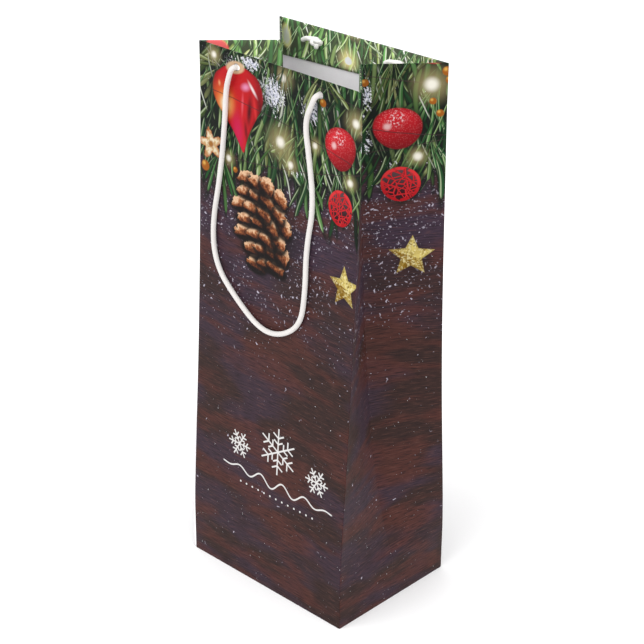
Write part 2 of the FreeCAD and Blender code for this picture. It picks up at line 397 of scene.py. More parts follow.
def gusset_hem(side, crease, materials):
    columns = face_columns(crease - HALF_DEPTH, crease) + face_columns(crease, crease + HALF_DEPTH)[1:]
    sheet = flat_sheet(columns, hem_rows(HEM_LOW.z, ()))
    paper_piece(side + "_gusset_hem_paper", sheet, on_face(crease, HALF_DEPTH), crease, PAPER, materials,
                [side + "_gusset_hem"])


def glue_tab(materials):
    """Bare strip of the left side glued behind the front's edge. Its fold shows beside that edge."""
    width = TAB_HIGH.x - TAB_LOW.x

    def place(s, v):
        flare = SEAM_FLARE * (1 - smoothstep(v, 0.0, SEAM_FLARE_TOP))
        start = -WIDTH / 2 + FOLD_ROUND / 4 - flare
        x = start + (TAB_HIGH.x - start) * s / width
        bend = FOLD_ROUND / 4 * (1 - smoothstep(s, 0.0, FOLD_ROUND))
        front = paper_point(max(0.0, x + WIDTH / 2), v, FRONT_MIDDLE, WIDTH / 2, PAPER + CARD_GAP)
        return Vector((x, front.y + bend, v))

    columns = steps((0.0, 0.0), (TAB_FINE, FINE), (width, COARSE))
    rows = steps((BASE_ROUND, 0.0), (TAB_HIGH.z, COARSE))
    paper_piece("seam_tab_paper", flat_sheet(columns, rows), place, 0.0, PAPER, materials,
                ["side_glue_tab"])


# ---------------------------------------------------------------- the handles

# By each hole the cord comes out of the paper and turns down. From inside the hole outward, these are
# places along X, heights, and distances from the paper to the cord's middle.
FRONT_LEFT_EXIT = [(-0.0320, 0.3214, -0.0005), (-0.0321, 0.3222, 0.0034), (-0.0345, 0.3165, 0.0035)]
FRONT_RIGHT_EXIT = [(0.0320, 0.3214, -0.0005), (0.0319, 0.3222, 0.0034), (0.0292, 0.3167, 0.0035)]
REAR_LEFT_EXIT = [(-0.0320, 0.3214, -0.0005), (-0.0320, 0.3222, 0.0034), (-0.0332, 0.3162, 0.0035)]
REAR_RIGHT_EXIT = [(0.0320, 0.3214, -0.0005), (0.0321, 0.3222, 0.0034), (0.0340, 0.3162, 0.0035)]

KNOT_CORD = 2.7 * MM                # the cord is drawn thinner in its knot
KNOT_SIZE = 0.98 * MM               # a third of the way from the knot's middle to its loops' tips
KNOT_SQUEEZE = 0.82                 # height of the knot as a share of its width
KNOT_DEPTH = 1.2 * MM               # how far the crossing strands stand apart, each way
KNOT_START = math.radians(322)
KNOT_END = math.radians(638)
KNOT_STEPS = 17
KNOT_SIDES = 28
# Places along X, distances into the bag from the hem, and heights, from the hole's middle
KNOT_LEAD = [(0.0, -0.0011, 0.0), (0.0, 0.0002, 0.0), (-0.0008, 0.0010, 0.0016), (-0.0024, 0.0018, 0.0017)]
KNOT_TAIL = [(-0.0042, 0.0036, 0.0019), (-0.0066, 0.0031, 0.0015), (-0.0088, 0.0024, 0.0006),
             (-0.0108, 0.0020, -0.0006)]


def spline_line(points):
    """Points along the smooth spline that these points control."""
    curve = bpy.data.curves.new("route", "CURVE")
    curve.dimensions = "3D"
    curve.resolution_u = SPLINE_STEPS
    spline = curve.splines.new("NURBS")
    spline.points.add(len(points) - 1)
    for control, point in zip(spline.points, points):
        control.co = (*point, 1.0)
    spline.order_u = 3
    spline.use_endpoint_u = True
    guide = bpy.data.objects.new("route", curve)
    mesh = bpy.data.meshes.new_from_object(guide)
    line = [vertex.co.copy() for vertex in mesh.vertices]
    bpy.data.objects.remove(guide)
    bpy.data.meshes.remove(mesh)
    return line


def braid(angle, run):
    """Height of a round braid's surface, so far along it, about its middle."""
    turn = 2 * math.pi * run / BRAID_PITCH
    ridges = max(math.cos(BRAID_STRANDS * angle + turn), math.cos(BRAID_STRANDS * angle - turn))
    return BRAID_RELIEF * (ridges - BRAID_MEAN)


def cord_tube(name, line, diameter, sides):
    """Braided mesh cord along a line, with flat cut ends."""
    vertices = []
    lay = []
    run = 0.0
    side = (line[1] - line[0]).orthogonal()
    for index, centre in enumerate(line):
        ahead = line[min(index + 1, len(line) - 1)]
        behind = line[max(index - 1, 0)]
        direction = (ahead - behind).normalized()
        side = (side - direction * side.dot(direction)).normalized()
        other = direction.cross(side)
        if index:
            run += (centre - line[index - 1]).length
        for step in range(sides):
            angle = 2 * math.pi * step / sides
            radius = diameter / 2 + braid(angle, run)
            vertices.append(centre + (side * math.cos(angle) + other * math.sin(angle)) * radius)
            lay.append((math.cos(angle), math.sin(angle), run / MM))
    faces = [tuple(reversed(range(sides)))]
    for start in range(0, len(vertices) - sides, sides):
        for step in range(sides):
            ahead = (step + 1) % sides
            faces.append((start + step, start + ahead, start + ahead + sides, start + step + sides))
    faces.append(tuple(range(len(vertices) - sides, len(vertices))))
    piece = add_object(name, vertices, faces)
    for face in piece.data.polygons:
        face.use_smooth = len(face.vertices) == 4
    set_point_values(piece.data, "lay", lay)
    return piece


def knot(name, middle, reach, hole_s, mirror, material, node):
    """Overhand knot inside the rim, with the cord's cut end."""
    hole = paper_point(hole_s, inside_v(HOLE_HEIGHT), middle, reach)
    beside = paper_point(hole_s + mirror * MM, inside_v(HOLE_HEIGHT), middle, reach)
    right = (beside - hole).normalized()
    up = Vector((0.0, 0.0, 1.0))
    inward = up.cross(right) * mirror
    clear = KNOT_CORD / 2 + KNOT_DEPTH
    loops = []
    for step in range(KNOT_STEPS + 1):
        t = KNOT_START + (KNOT_END - KNOT_START) * step / KNOT_STEPS
        across = KNOT_SIZE * (math.sin(t) + 2 * math.sin(2 * t))
        height = KNOT_SIZE * KNOT_SQUEEZE * (math.cos(t) - 2 * math.cos(2 * t))
        loops.append((across, clear - KNOT_DEPTH * math.sin(3 * t), height))
    points = [hole + right * x + inward * y + up * z for x, y, z in KNOT_LEAD + loops + KNOT_TAIL]
    piece = cord_tube(name, spline_line(points), KNOT_CORD, KNOT_SIDES)
    piece.data.materials.append(material)
    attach(piece, "bag")
    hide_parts(node)
    return piece


def handle(side, route, left_exit, right_exit, middle, mirror, cord_cotton, knot_cotton_painted_lighter):
    """Cord loop that hangs against a panel, and its two knots."""
    standoff = CORD / 2 + CORD_CLEARANCE
    places = left_exit + [(x, z, standoff) for x, z in route] + right_exit[::-1]
    points = [paper_point(middle + mirror * x, z, middle, WIDTH / 2, -off) for x, z, off in places]
    line = spline_line(points)
    cord = cord_tube(side + "_handle", line, CORD, CORD_SIDES)
    cord.data.materials.append(cord_cotton)
    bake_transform(cord)
    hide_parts(side + "_handle_cord")
    for name, x in (("_left_knot", -HOLE_OFFSET), ("_right_knot", HOLE_OFFSET)):
        knot(side + name + "_tied", middle, WIDTH / 2, middle + mirror * x, mirror,
                          knot_cotton_painted_lighter, side + name)
    hole = paper_point(middle - mirror * HOLE_OFFSET, HOLE_HEIGHT, middle, WIDTH / 2)


# ---------------------------------------------------------------- shader arithmetic

class Value:
    """A number, vector or colour inside a material. Arithmetic on it adds nodes. A comparison gives
    1 where it is true and 0 elsewhere."""

    def __init__(self, tree, socket):
        self.tree = tree
        self.socket = socket

    def __add__(self, other):
        return arithmetic("ADD", self, other)

    def __sub__(self, other):
        return arithmetic("SUBTRACT", self, other)

    def __rsub__(self, other):
        return arithmetic("SUBTRACT", other, self)

    def __mul__(self, other):
        return arithmetic("MULTIPLY", self, other)

    def __truediv__(self, other):
        return arithmetic("DIVIDE", self, other)

    def __abs__(self):
        return arithmetic("ABSOLUTE", self)

    def __lt__(self, other):
        return arithmetic("LESS_THAN", self, other)

    def __gt__(self, other):
        return arithmetic("GREATER_THAN", self, other)


def feed(tree, socket, value):
    if isinstance(value, Value):
        tree.links.new(value.socket, socket)
    else:
        socket.default_value = value


def add_node(tree, kind, inputs, output=0, **settings):
    """Adds a node with these inputs and settings, and returns one of its outputs."""
    made = tree.nodes.new("ShaderNode" + kind)
    for name, setting in settings.items():
        setattr(made, name, setting)
    for name, value in inputs.items():
        feed(tree, made.inputs[name], value)
    return Value(tree, made.outputs[output])


def arithmetic(operation, *values):
    tree = next(value.tree for value in values if isinstance(value, Value))
    return add_node(tree, "Math", dict(enumerate(values)), operation=operation)


def vectors(operation, *values, output=0):
    return add_node(values[0].tree, "VectorMath", dict(enumerate(values)), output, operation=operation)


def split(vector, kind="XYZ"):
    """The three numbers of a vector, or of a colour if that is its kind."""
    made = vector.tree.nodes.new("ShaderNodeSeparate" + kind)
    feed(vector.tree, made.inputs[0], vector)
    return [Value(vector.tree, socket) for socket in made.outputs]


def length(vector):
    return vectors("LENGTH", vector, output="Value")


def distance_out(side, up):
    return arithmetic("SQRT", side * side + up * up)


def fold_round(side, up, sector):
    """Folds the plane into half a sector about its middle. Returns the angle from straight up, the angle
    from the sector's axis, and the place along and across that axis."""
    angle = arithmetic("ARCTAN2", side, up)
    wrapped = arithmetic("WRAP", angle, -sector / 2, sector / 2)
    folded = abs(wrapped)
    reach = distance_out(side, up)
    return angle, wrapped, arithmetic("COSINE", folded) * reach, arithmetic("SINE", folded) * reach


def scaled(vector, share):
    return add_node(vector.tree, "VectorMath", {0: vector, "Scale": share}, operation="SCALE")


def fade(value, start, end):
    """0 at start and 1 at end, with a soft change between. The start may be the larger."""
    inputs = {"Value": value, "From Min": start, "From Max": end}
    return add_node(value.tree, "MapRange", inputs, interpolation_type="SMOOTHSTEP")


def mix(share, under, over):
    """Lays this share of one colour over another."""
    tree = next(value.tree for value in (share, under, over) if isinstance(value, Value))
    return add_node(tree, "Mix", {0: share, 6: under, 7: over}, 2, data_type="RGBA")


def cells(vector, size=1.0, randomness=1.0):
    """Voronoi cells about random points: distance from the point, three random numbers, the point's place."""
    tree = vector.tree
    made = tree.nodes.new("ShaderNodeTexVoronoi")
    made.voronoi_dimensions = "2D"
    feed(tree, made.inputs["Vector"], vector)
    made.inputs["Scale"].default_value = 1 / size
    made.inputs["Randomness"].default_value = randomness
    distance, random, centre = (Value(tree, made.outputs[name]) for name in ("Distance", "Color", "Position"))
    return distance, split(random, "Color"), centre


def cell_edges(vector, size):
    """Distance from the borders between Voronoi cells."""
    inputs = {"Vector": vector, "Scale": 1 / size}
    return add_node(vector.tree, "TexVoronoi", inputs, voronoi_dimensions="2D", feature="DISTANCE_TO_EDGE")


def clouds(vector, size, detail=2.0, roughness=0.5, output=0, dimensions="2D"):
    """Noise from 0 to 1 with features of about this size. Output 1 is a colour of three such noises."""
    inputs = {"Vector": vector, "Scale": 1 / size, "Detail": detail, "Roughness": roughness}
    return add_node(vector.tree, "TexNoise", inputs, output, noise_dimensions=dimensions)


def wander(number, size, seed):
    """Noise from 0 to 1 along one number."""
    inputs = {"W": number * (1 / size) + seed, "Scale": 1.0, "Detail": 1.0}
    return add_node(number.tree, "TexNoise", inputs, noise_dimensions="1D")


def local(vector, centre, size, turn=0.0, inverse=False):
    """A place in a frame at centre, turned by so many degrees, in units of size; or back from it."""
    inputs = {"Vector": vector, "Location": (*centre, 0.0), "Rotation": (0.0, 0.0, math.radians(turn)),
              "Scale": (*size, 1.0)}
    return add_node(vector.tree, "Mapping", inputs, vector_type="POINT" if inverse else "TEXTURE")


def outline(value, *points):
    """A smooth curve through (value, result) points."""
    made = value.tree.nodes.new("ShaderNodeFloatCurve")
    curve = made.mapping.curves[0].points
    curve[0].location = points[0]
    curve[1].location = points[-1]
    for point in points[1:-1]:
        curve.new(*point)
    made.mapping.update()
    feed(value.tree, made.inputs["Value"], value)
    return Value(value.tree, made.outputs[0])


def shades(value, *stops):
    """Colours between (place, colour) stops."""
    made = value.tree.nodes.new("ShaderNodeValToRGB")
    elements = made.color_ramp.elements
    elements[0].position, elements[0].color = stops[0]
    elements[1].position, elements[1].color = stops[-1]
    for place, colour in stops[1:-1]:
        elements.new(place).color = colour
    feed(value.tree, made.inputs[0], value)
    return Value(value.tree, made.outputs[0])


def ink(red, green, blue):
    """A colour given as 0 to 255, in the linear form that the shader uses."""
    def linear(part):
        part /= 255
        return part / 12.92 if part <= 0.04045 else ((part + 0.055) / 1.055) ** 2.4
    return (linear(red), linear(green), linear(blue), 1.0)


# ---------------------------------------------------------------- the print

NEEDLE_DARK = ink(14, 24, 16)
WHITE = ink(250, 248, 246)
TRACE = 1e-6                        # share of the colour so far that moves a layer's place, in millimetres


def layer(draw):
    """Puts what one of a Print's methods draws into a node group of its own, over the colour so far.

    Its place depends on that colour by an amount too small to see, so the renderer works through the
    layers in turn and holds few numbers at once."""
    def drawn(under, *places, **settings):
        group = bpy.data.node_groups.new(draw.__name__, "ShaderNodeTree")
        for name, kind in (("flat", "Vector"), ("waved", "Vector"), ("colour", "Color")):
            group.interface.new_socket(name, in_out="INPUT", socket_type="NodeSocket" + kind)
        group.interface.new_socket("colour", in_out="OUTPUT", socket_type="NodeSocketColor")
        entrance = group.nodes.new("NodeGroupInput")
        flat, waved, colour = (Value(group, socket) for socket in entrance.outputs[:3])
        nothing = scaled(colour, TRACE)
        over = Print(vectors("ADD", flat, nothing), vectors("ADD", waved, nothing), colour)
        draw(over, *places, **settings)
        feed(group, group.nodes.new("NodeGroupOutput").inputs[0], over.colour)
        inputs = {"flat": under.spot, "waved": under.bent, "colour": under.colour}
        made = under.tree.nodes.new("ShaderNodeGroup")
        made.node_tree = group
        for name, value in inputs.items():
            feed(under.tree, made.inputs[name], value)
        under.colour = Value(under.tree, made.outputs[0])
    return drawn


class Print:
    """A picture built up in layers on the flat sheet. Needles are drawn in its gently bent copy."""

    def __init__(self, spot, bent, colour):
        self.tree = spot.tree
        self.spot = spot
        self.bent = bent
        self.colour = colour
        self.across, self.height, _ = split(spot)

    def paint(self, share, colour):
        self.colour = mix(share, self.colour, colour)

    def local(self, centre, size, turn=0):
        return local(self.spot, centre, size, turn)

    def blob(self, centre, size, turn=0, core=0):
        """1 in an ellipse's core, falling to 0 at its edge."""
        return fade(length(self.local(centre, size, turn)), 1, core)

    @layer
    def wood(self):
        """Dark stained boards: purple and reddish bands under fine grain."""
        bent = vectors("ADD", self.spot, scaled(clouds(self.spot, 80, 1, output=1), 7))
        fine = clouds(local(bent, (0, 0), (12, 1)), 0.75, 4, 0.65)
        bands = clouds(local(bent, (40, 7), (4.5, 1)), 17, 2, 0.6)
        tint = clouds(local(bent, (5, 60), (2, 1)), 30, 2)
        purple = fade(tint, 0.4, 0.6) * 0.7 + fade(self.height, 150, 260) * 0.4
        self.paint(1, mix(purple, ink(59, 40, 37), ink(67, 51, 67)))
        self.paint(fade(bands, 0.46, 0.66) * 0.7, ink(92, 50, 43))
        self.paint(fade(fine, 0.52, 0.3) * 0.72, ink(36, 25, 28))
        self.paint(fade(fine, 0.54, 0.74) * 0.42, ink(118, 78, 70))

    @layer
    def flecks(self, size, share, radius, edge, seed, bright=1, everywhere=0):
        """Crumbs of snow, in drifts that thicken up to the needles' edge and a few everywhere."""
        near = fade(self.height, edge - 120, edge - 10) * fade(clouds(self.spot, 34, 1), 0.32, 0.54)
        where = arithmetic("MAXIMUM", near, everywhere)
        frame = local(self.spot, (7.3 * seed, 3.1 * seed), (size, size), 37 * seed)
        crumbled = vectors("ADD", frame, scaled(clouds(frame, 0.3, 2, output=1), 0.4))
        _, (chance, lean, glow), home = cells(crumbled)
        offset = vectors("SUBTRACT", crumbled, home)
        turned = add_node(self.tree, "VectorRotate", {"Vector": offset, "Angle": lean * (2 * math.pi)},
                          rotation_type="Z_AXIS")
        body = fade(length(vectors("MULTIPLY", turned, (1, 2.4, 0))), radius, radius * 0.4)
        present = (chance < where * share)
        self.paint(body * present * fade(glow, -0.3, 0.9) * bright, ink(206, 198, 214))

    @layer
    def needles(self, turn, cell, body, inks, limit, crowd, seed, where=None, gloom=0.8):
        """A layer of needles that lean by turn, each drawn in its own cell of this width and length. body
        is a needle's half width and half length in cells, limit the height that their middles stay over,
        crowd the share of cells with a needle, and where gives the part of it at a place across."""
        frame = {"centre": (31.7 * seed, 17.3 * seed), "size": cell, "turn": turn}
        here = local(self.bent, **frame)
        _, (chance, hue, glow), centre = cells(here)
        home_across, home_height, _ = split(local(centre, **frame, inverse=True))
        edge = wander(home_across, 7, 5.3 * seed) * 26 + (limit - 13)
        if where:
            crowd = where(home_across) * crowd
        present = (home_height > edge) * (chance < crowd)
        self.needle(vectors("SUBTRACT", here, centre), body, present, hue, glow, inks, gloom)

    @layer
    def fan(self, root, turn, spread, reach, inks, seed, width=0.36):
        """A twig's needles, which spread from its root about a line turned by turn from straight down.
        width is a needle's half width, as a share of the angle that each one has to itself."""
        side, up, _ = split(local(self.bent, root, (1, 1), turn))
        out = distance_out(side, up)
        angle = arithmetic("ARCTAN2", side, up * -1)
        apart = math.radians(spread) / FAN_NEEDLES
        shift = 11 * seed
        here = add_node(self.tree, "CombineXYZ", {0: angle / apart + shift, 1: out / (reach * 0.62) + shift})
        _, (chance, hue, glow), centre = cells(here, 1, 0.9)
        home_angle, home_out, _ = split(vectors("SUBTRACT", centre, (shift, shift, 0)))
        present = (abs(home_angle) < FAN_NEEDLES / 2) * (home_out < 1.12) * (home_out > 0.1) * (chance < 0.9)
        self.needle(vectors("SUBTRACT", here, centre), (width, 0.46), present, hue, glow, inks, 0.8)

    def needle(self, offset, body, present, hue, glow, inks, gloom):
        """A needle and the dark about it, from places measured from its middle."""
        offset = vectors("MULTIPLY", offset, (1 / body[0], 1 / body[1], 0))
        reach = length(offset)
        side, _, _ = split(offset)
        self.paint(fade(reach, 1.9, 0.8) * present * gloom, NEEDLE_DARK)
        round_shade = 1 - side * side * 0.8
        tint = mix(1 - round_shade * (glow * 0.6 + 0.4), shades(hue, *inks), NEEDLE_DARK)
        shine = fade(abs(side + 0.28), 0.36, 0) * fade(glow, 0.2, 1)
        tint = mix(shine * 0.75, tint, ink(206, 222, 178))
        self.paint(fade(reach, 1, 0.86) * present, tint)

    @layer
    def patch(self, centre, size, turn, core, colour, share=1):
        """A soft-edged spot of one colour."""
        self.paint(self.blob(centre, size, turn, core) * share, colour)

    @layer
    def shade_above(self, edge, soft, share):
        """The dark among the needles, above a height."""
        self.paint(fade(self.height, edge, edge + soft) * share, NEEDLE_DARK)

    @layer
    def frost(self, centre, size, turn, share):
        """A patch of hoar frost on the needles."""
        cloud = self.blob(centre, size, turn) * share
        grains = clouds(self.bent, 1.3, 3, 0.75)
        tufts = clouds(local(self.bent, (0, 0), (1.5, 5), 20), 1, 2)
        level = (grains + tufts) * 0.5
        self.paint(fade(level, 0.7 - cloud * 0.22, 0.76 - cloud * 0.2),
                   mix(fade(grains, 0.35, 0.65), ink(168, 170, 198), ink(250, 250, 254)))

    @layer
    def glow(self, centre, core, halo):
        """An out-of-focus fairy light."""
        self.paint(self.blob(centre, (halo, halo)) * 0.6, ink(200, 184, 128))
        self.paint(self.blob(centre, (core, core), core=0.2), ink(255, 250, 236))

    @layer
    def wire(self, start, end, sag, seed):
        """A thin dark lead of the fairy lights, between two places."""
        run = end[0] - start[0]
        share = (self.across - start[0]) / run
        line = share * (end[1] - start[1]) + start[1] - share * (1 - share) * (4 * sag)
        line = line + wander(self.across, 14, seed) * 1.2
        ends = fade(abs(share - 0.5), 0.56, 0.5)
        self.paint(fade(abs(self.height - line), 0.42, 0.12) * ends * 0.72, ink(62, 46, 48))

    @layer
    def berry(self, centre, radius):
        """Orange berry with a light upper left."""
        self.paint(self.blob(centre, (radius, radius), core=0.75), ink(168, 96, 26))
        lit = (centre[0] - 0.3 * radius, centre[1] + 0.35 * radius)
        self.paint(self.blob(lit, (0.6 * radius, 0.6 * radius)) * 0.8, ink(248, 196, 96))

    @layer
    def teardrop(self, tip, half_width, tall, turn):
        """Glossy glass drop that hangs point down, with the lights on it placed from its tip."""
        side, up, _ = split(self.local(tip, (half_width, tall), turn))
        width = outline(up, (0, 0.03), (0.2, 0.27), (0.42, 0.66), (0.6, 0.95), (0.7, 1),
                        (0.84, 0.9), (0.94, 0.62), (1, 0.2))
        reach = abs(side) / width
        inside = fade(reach, 1.04, 0.96) * fade(up, -0.01, 0.02) * fade(up, 1.01, 0.99)
        self.paint(fade(reach, 1.5, 0.95) * fade(up, -0.05, 0.1) * fade(up, 1.05, 0.9) * 0.6, NEEDLE_DARK)
        glass = mix(fade(side, 0.1, 1) * 0.55, ink(206, 26, 34), ink(150, 10, 22))
        glass = mix(fade(reach, 0.72, 1) * 0.6, glass, ink(122, 6, 18))
        self.paint(inside, glass)

        for offset, size, turned, colour, share in (
            ((-4.5, 12), (7, 17), 10, ink(214, 30, 92), 0.75),
            ((-16.5, 27), (14, 15), 0, ink(232, 112, 42), 0.95),
            ((-14.5, 25), (9, 11), -8, ink(252, 190, 112), 1),
            ((-15, 25), (5, 6), 0, ink(255, 246, 220), 1),
            ((4.5, 25), (3, 13), -4, ink(84, 6, 18), 1),
            ((2, 13), (2.2, 10), 8, ink(96, 6, 20), 0.8),
            ((13.5, 27), (3.5, 18), 12, ink(96, 4, 16), 0.8),
            ((-1, 28), (1.5, 10), -2, ink(238, 96, 110), 0.8),
            ((9, 27), (1.8, 12), 10, ink(228, 52, 52), 0.8),
            ((1.5, 38.5), (5.5, 3.4), 20, ink(244, 156, 196), 0.9),
            ((7, 38.5), (1.6, 7.5), 40, ink(255, 240, 240), 1),
            ((-19.5, 36), (1.6, 2.6), 0, ink(250, 170, 120), 0.9),
        ):
            centre = (tip[0] + offset[0], tip[1] + offset[1])
            self.paint(self.blob(centre, size, turned) * inside * share, colour)

    def red_shape(self, centre, size, turn, taper):
        """An egg-shaped red form: how far out each place is, 1 at its edge, and where the place is in it."""
        place = self.local(centre, size, turn)
        side, up, _ = split(place)
        narrow = side / (up * taper + 1)
        reach = distance_out(narrow, up)
        self.paint(fade(reach, 1.32, 0.9) * 0.7, NEEDLE_DARK)
        return place, side, up, reach

    @layer
    def glitter_egg(self, centre, size, turn, taper=0.16):
        """Red egg covered with glitter, lit from above."""
        place, side, up, reach = self.red_shape(centre, size, turn, taper)
        inside = fade(reach, 1.03, 0.96)
        shade = fade(up * 0.75 - side * 0.35, -0.8, 0.75)
        body = mix(shade, ink(142, 8, 20), ink(222, 34, 46))
        body = mix(fade(reach, 0.7, 1.02) * 0.55, body, ink(120, 6, 20))
        distance, (chance, _, _), _ = cells(self.spot, 0.85)
        sparkle = fade(distance, 0.5, 0.1) * fade(chance, 0.35, 1)
        body = mix(sparkle * (shade * 0.5 + 0.1), body, ink(252, 150, 150))
        frosty = fade(clouds(self.spot, 1.5, 2, 0.7), 0.52, 0.66)
        patch = fade(length(vectors("SUBTRACT", place, (-0.05, 0.48, 0))), 0.55, 0.15)
        body = mix(frosty * patch * 0.9, body, ink(252, 216, 220))
        dot = fade(length(vectors("SUBTRACT", place, (-0.42, 0.12, 0))), 0.24, 0.05)
        body = mix(dot * 0.85, body, ink(252, 206, 206))
        self.paint(inside, body)

    @layer
    def wicker_ball(self, centre, size, turn, seed):
        """Ball of red twigs with dark gaps."""
        place, _, up, reach = self.red_shape(centre, size, turn, 0.06)
        inside = fade(reach, 1.03, 0.97)
        self.paint(inside, mix(fade(up, -0.6, 0.8), ink(54, 12, 20), ink(92, 66, 70)))
        for turned in (50, 125, 5):
            edge = cell_edges(local(place, (seed + turned, 0.7 * seed), (1, 0.5), turned), 0.78)
            tone = mix(fade(edge, 0.08, 0), ink(138, 8, 20), ink(232, 44, 50))
            self.paint(fade(edge, 0.1, 0.05) * inside, tone)
        rim = fade(abs(reach - 0.93), 0.14, 0.05)
        ring = mix(fade(up, -0.7, 0.7), ink(190, 14, 26), ink(232, 52, 56))
        self.paint(rim * inside * fade(clouds(place, 0.35, 1), 0.3, 0.42), ring)

    @layer
    def star(self, centre, size, turn):
        """Five-pointed padded star with gold glitter."""
        side, up, _ = split(self.local(centre, size, turn))
        sector = math.radians(72)
        angle, wrapped, along, across = fold_round(side, up, sector)
        notch = 0.46
        notch_up = notch * math.cos(sector / 2)
        notch_side = notch * math.sin(sector / 2)
        depth = (along * notch_side + across * (1 - notch_up)) / notch_side
        shadow = self.blob((centre[0] + 1.1, centre[1] - 1.4), (size[0] * 1.05, size[1] * 1.05), turn, 0.35)
        self.paint(shadow * 0.6, ink(34, 20, 26))
        lit = fade(arithmetic("SINE", angle + 0.9), -0.9, 0.7)
        facet = arithmetic("SIGN", wrapped) * 0.22
        tone = mix(lit + facet, ink(150, 112, 22), ink(228, 206, 118))
        _, (chance, _, _), _ = cells(self.spot, 0.8)
        tone = mix(fade(chance, 0.55, 1) * 0.65, tone, ink(255, 246, 190))
        tone = mix(fade(chance, 0.3, 0) * 0.7, tone, ink(104, 76, 16))
        tone = mix(fade(depth, 0.7, 1.02) * 0.35, tone, ink(96, 66, 14))
        self.paint(fade(depth, 1.06, 0.98), tone)

    def cone(self, centre, size, turn):
        """Open pine cone, tip down: rows of thick scales, each over the shaded row below it."""
        shadow = (centre[0] + 3, centre[1] - 3)
        self.patch(shadow, (size[0] * 1.35, size[1] * 1.2), turn, 0.4, ink(22, 14, 18), 0.85)
        for row in range(CONE_ROWS):
            self.cone_row(centre, size, turn, row)

    @layer
    def cone_row(self, centre, size, turn, row):
        """Scales side by side, each with its lit lip and the dark below it."""
        lumps = clouds(self.spot, 3, 4, 0.65)
        share = row / (CONE_ROWS - 1)
        half = math.sin(math.pi * (0.13 + 0.7 * share)) ** 0.7
        count = round(1.5 + 2.4 * half + 0.5 * (row % 2))
        tilt = Matrix.Rotation(math.radians(turn), 2)
        for column in range(count):
            uneven = math.sin(12.9 * row + 7.7 * column)
            across = ((column + 0.3 + 0.4 * (row % 2) + 0.15 * uneven) / count * 2 - 1) * half * 0.9
            along = share * 1.7 - 0.87 + 0.1 * across * across + 0.05 * uneven
            middle = Vector(centre) + tilt @ Vector((across * size[0], along * size[1]))
            lean = 14 * uneven - 20 * across - 17
            place = self.local(middle, (7.4 + 1.4 * uneven, 4.3 - 0.6 * uneven), lean)
            side, up, _ = split(place)
            arched = up + side * side * 0.4
            reach = distance_out(side, arched) + lumps * 1.2
            below = length(vectors("ADD", place, (-0.05, 0.5, 0)))
            self.paint(fade(below, 1.5, 1) * 0.96, ink(16, 9, 9))
            light = arched * 0.46 - side * 0.16 + lumps * 1.25 - 0.06
            tone = shades(light, (0.1, ink(42, 19, 13)), (0.34, ink(112, 57, 31)), (0.56, ink(178, 108, 63)),
                          (0.8, ink(244, 200, 160)))
            self.paint(fade(reach, 1.6, 1.44), tone)

    @layer
    def flower(self, centre, size, turn):
        """Dried flower with broad cream petals that turn orange at their edges."""
        place = self.local(centre, size, turn)
        side, up, _ = split(place)
        angle = arithmetic("ARCTAN2", side, up)
        petals = arithmetic("COSINE", angle * 5) * 0.24 + 0.76
        reach = length(place) / petals + clouds(self.spot, 1.6) * 0.3
        self.paint(fade(reach, 1.5, 0.9) * 0.6, NEEDLE_DARK)
        folds = fade(clouds(self.spot, 2.2), 0.4, 0.65)
        tone = mix(folds, ink(246, 232, 200), ink(214, 172, 116))
        tone = mix(fade(reach, 0.72, 1.1), tone, ink(182, 104, 52))
        tone = mix(fade(length(place), 0.3, 0.1), tone, ink(170, 112, 50))
        self.paint(fade(reach, 1.14, 1.02), tone)

    @layer
    def snowflake(self, centre, radius, line, turn=0):
        """Plain six-armed line drawing."""
        side, up, _ = split(self.local(centre, (radius, radius), turn))
        sector = math.radians(60)
        _, _, along, across = fold_round(side, up, sector)
        width = line / radius
        strokes = fade(across, width, width * 0.6) * fade(along, 1.02, 1)
        for root, size in ((0.34, 0.26), (0.6, 0.32)):
            start = along - root
            branch_along = start * math.cos(sector) + across * math.sin(sector)
            branch_off = abs(across * math.cos(sector) - start * math.sin(sector))
            branch = fade(branch_off, width, width * 0.6) * fade(branch_along, size + 0.02, size)
            strokes = arithmetic("MAXIMUM", strokes, branch * fade(branch_along, -0.02, 0))
        self.paint(strokes * 0.94, WHITE)

    @layer
    def flourish(self, centre, half, swing, waves, line):
        """Wavy line that dies out at both ends."""
        side, up, _ = split(self.local(centre, (half, 1)))
        ends = 1 - side * side
        wave = arithmetic("SINE", side * (math.pi * waves)) * ends * swing
        steep = abs(arithmetic("COSINE", side * (math.pi * waves))) * ends
        width = steep * (swing * math.pi * waves / half * 0.5 * line) + line
        body = fade(abs(up - wave) / width, 1, 0.6)
        self.paint(body * fade(abs(side), 1, 0.97) * 0.94, WHITE)

    @layer
    def dots(self, centre, half, spacing, radius):
        """Row of small dots."""
        side, up, _ = split(self.local(centre, (1, 1)))
        near = arithmetic("WRAP", side, -spacing / 2, spacing / 2)
        reach = distance_out(near, up)
        ends = fade(abs(side), half, half - 0.1)
        self.paint(fade(reach, radius, radius * 0.7) * ends * 0.94, WHITE)


INK_STRENGTH = 0.66                 # every ink of the print times this, so that it looks right when lit
HEM_PAINTED_LIGHT_GAIN = 2.0                   # more of it inside the rim: painted light that brightens the print where the bag's inside is in shade
HEM_PAINTED_LIGHT_WASH = 0.05                     # and painted paler by this share there, also to lift the shade inside the rim
BRIGHTEST = 0.95                    # the print reflects no more than this
FAN_NEEDLES = 8
CONE_ROWS = 7

